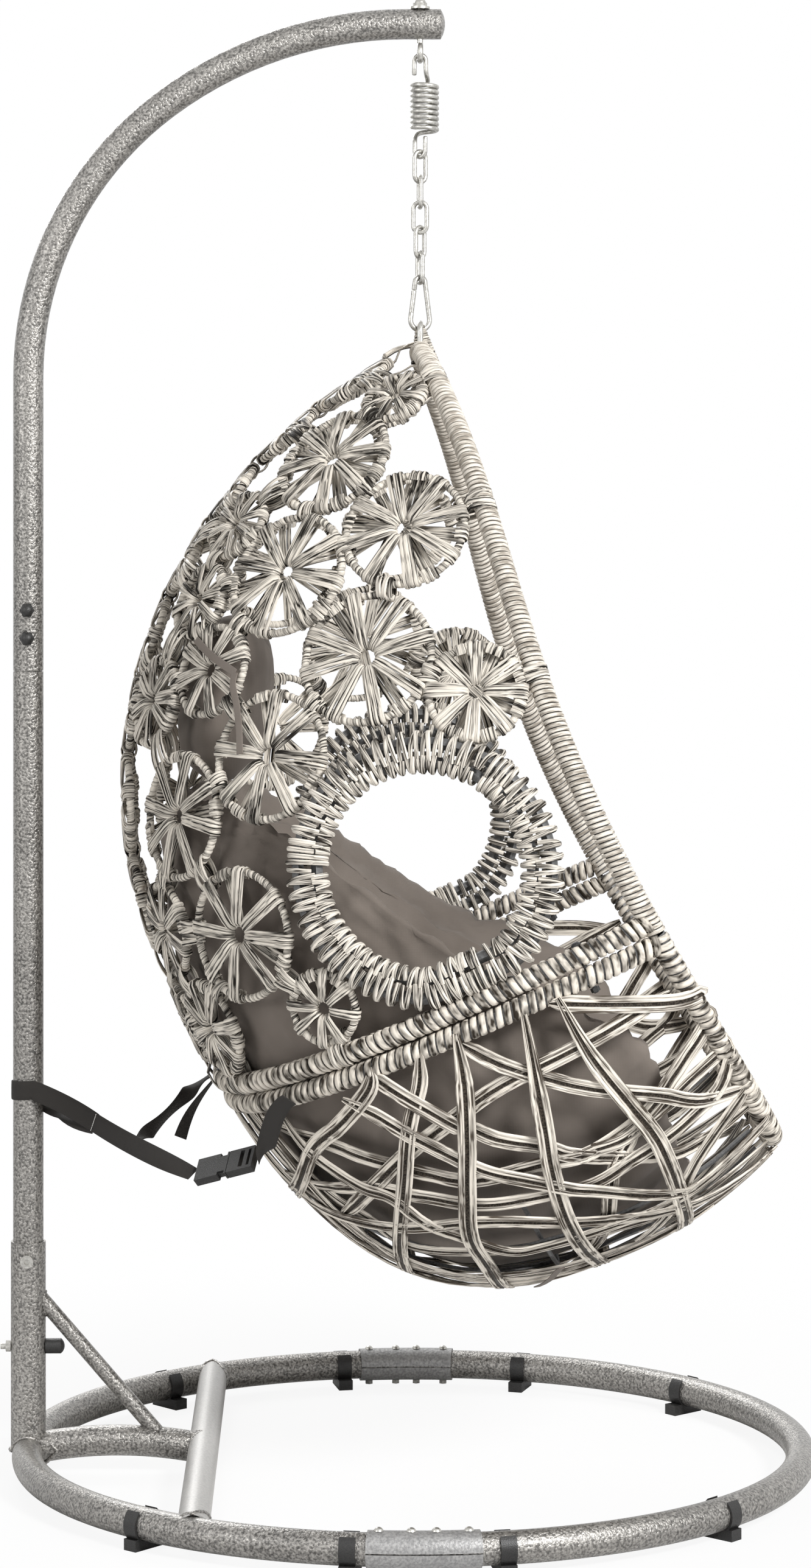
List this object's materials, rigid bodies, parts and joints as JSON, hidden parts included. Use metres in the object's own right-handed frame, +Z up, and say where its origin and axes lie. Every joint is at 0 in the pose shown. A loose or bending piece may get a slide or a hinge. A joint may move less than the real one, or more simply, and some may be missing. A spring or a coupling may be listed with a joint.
{
  "type": "hanging egg chair",
  "caption": "Egg-shaped wicker basket seat with cushions, hung by a spring and chain from a curved-arm tube stand on a ring base, with a strap to the post.",
  "frame": {"origin": "middle of the footprint, on the floor", "axes": "+X the way the basket opens, +Y to the sitter's left, +Z up"},
  "size_m": [1.0764, 1.0656, 1.951],
  "materials": {
    "tube_coat": "silver-grey hammered powder coat",
    "zinc": "zinc plated",
    "black_plastic": "black moulded plastic",
    "wicker": "grey-beige plastic wicker",
    "cushion_cloth": "warm grey woven polyester",
    "webbing": "black nylon webbing",
    "core_steel": "grey powder coat"
  },
  "bodies": {
    "stand": {"base_ring_rear": "tube_coat", "base_ring_front": "tube_coat", "clamp_near_upper": "tube_coat", "clamp_near_lower": "tube_coat", "clamp_far_upper": "tube_coat", "clamp_far_lower": "tube_coat", "clamp_bolts": "zinc", "clamp_nuts": "zinc", "ring_feet": "black_plastic", "post_socket": "tube_coat", "arch_tube": "tube_coat", "crossbar": "tube_coat", "brace": "tube_coat", "lower_pole": "tube_coat", "joint_spigot": "tube_coat", "curved_arm": "tube_coat", "arm_end_cap": "tube_coat", "joint_bolts": "zinc", "joint_cap_nuts": "black_plastic", "set_screw": "zinc", "cross_bolt": "zinc", "cross_bolt_cap": "black_plastic", "cross_nut": "zinc", "hook_bolt": "zinc", "hook_washer": "zinc", "hook_cap_nut": "zinc", "strap_loop": "webbing"},
    "spring": {"coil_spring": "zinc"},
    "upper_chain": {"chain_link_1": "zinc", "chain_link_2": "zinc", "chain_link_3": "zinc"},
    "lower_chain": {"chain_link_4": "zinc", "chain_link_5": "zinc"},
    "snap": {"snap_hook": "zinc", "gate_pin": "zinc"},
    "gate": {"snap_gate": "zinc"},
    "basket": {"bail": "zinc", "upper_frame_tube": "core_steel", "upper_frame_wrap": "wicker", "upper_hoop_tube": "core_steel", "upper_hoop_wrap": "wicker", "lower_frame_tube": "core_steel", "lower_frame_wrap": "wicker", "lower_hoop_tube": "core_steel", "lower_hoop_wrap": "wicker", "armhole_ring_near": "wicker", "armhole_ring_far": "wicker", "rosettes_near": "wicker", "rosettes_far": "wicker", "rosettes_back": "wicker", "seam_bolts": "zinc", "seam_nuts": "zinc", "bowl_ribs": "core_steel", "bowl_weave": "wicker", "seat_cushion": "cushion_cloth", "head_pillow": "cushion_cloth", "strap_webbing": "webbing", "strap_second": "webbing", "buckle_plug": "black_plastic"},
    "buckle": {"buckle_socket": "black_plastic"}
  },
  "joints": [
    {"name": "swing_fore_aft", "type": "hinge", "parent": "stand", "child": "spring", "pos_m": [0.01625, 0, 1.868], "axis": [0, -1, 0], "range_deg": [-4, 8], "deforming": ["strap_webbing", "strap_second"]},
    {"name": "bounce", "type": "slide", "parent": "spring", "child": "upper_chain", "axis": [0, 0, -1], "range_m": [0, 0.03], "stiffness_N_per_m": 20000, "springref_m": -0.0125, "deforming": ["coil_spring"]},
    {"name": "swing_side", "type": "hinge", "parent": "upper_chain", "child": "lower_chain", "pos_m": [0.01625, 0, 1.6401], "axis": [1, 0, 0], "range_deg": [-8, 8]},
    {"name": "turn", "type": "hinge", "parent": "lower_chain", "child": "snap", "pos_m": [0.01625, 0, 1.5733], "axis": [0, 0, 1], "range_deg": [-20, 20]},
    {"name": "basket_tilt", "type": "hinge", "parent": "snap", "child": "basket", "pos_m": [0.01625, 0, 1.5195], "axis": [0, -1, 0], "range_deg": [-2, 6]},
    {"name": "gate_opening", "type": "hinge", "parent": "snap", "child": "gate", "pos_m": [0.00791, -0.00303, 1.56022], "axis": [0.342, -0.9397, 0], "range_deg": [0, 25], "stiffness_Nm_per_rad": 0.05, "springref_deg": -17.19},
    {"name": "buckle_release", "type": "slide", "parent": "basket", "child": "buckle", "axis": [-0.8636, 0.4159, -0.285], "range_m": [0, 0.025]}
  ]
}
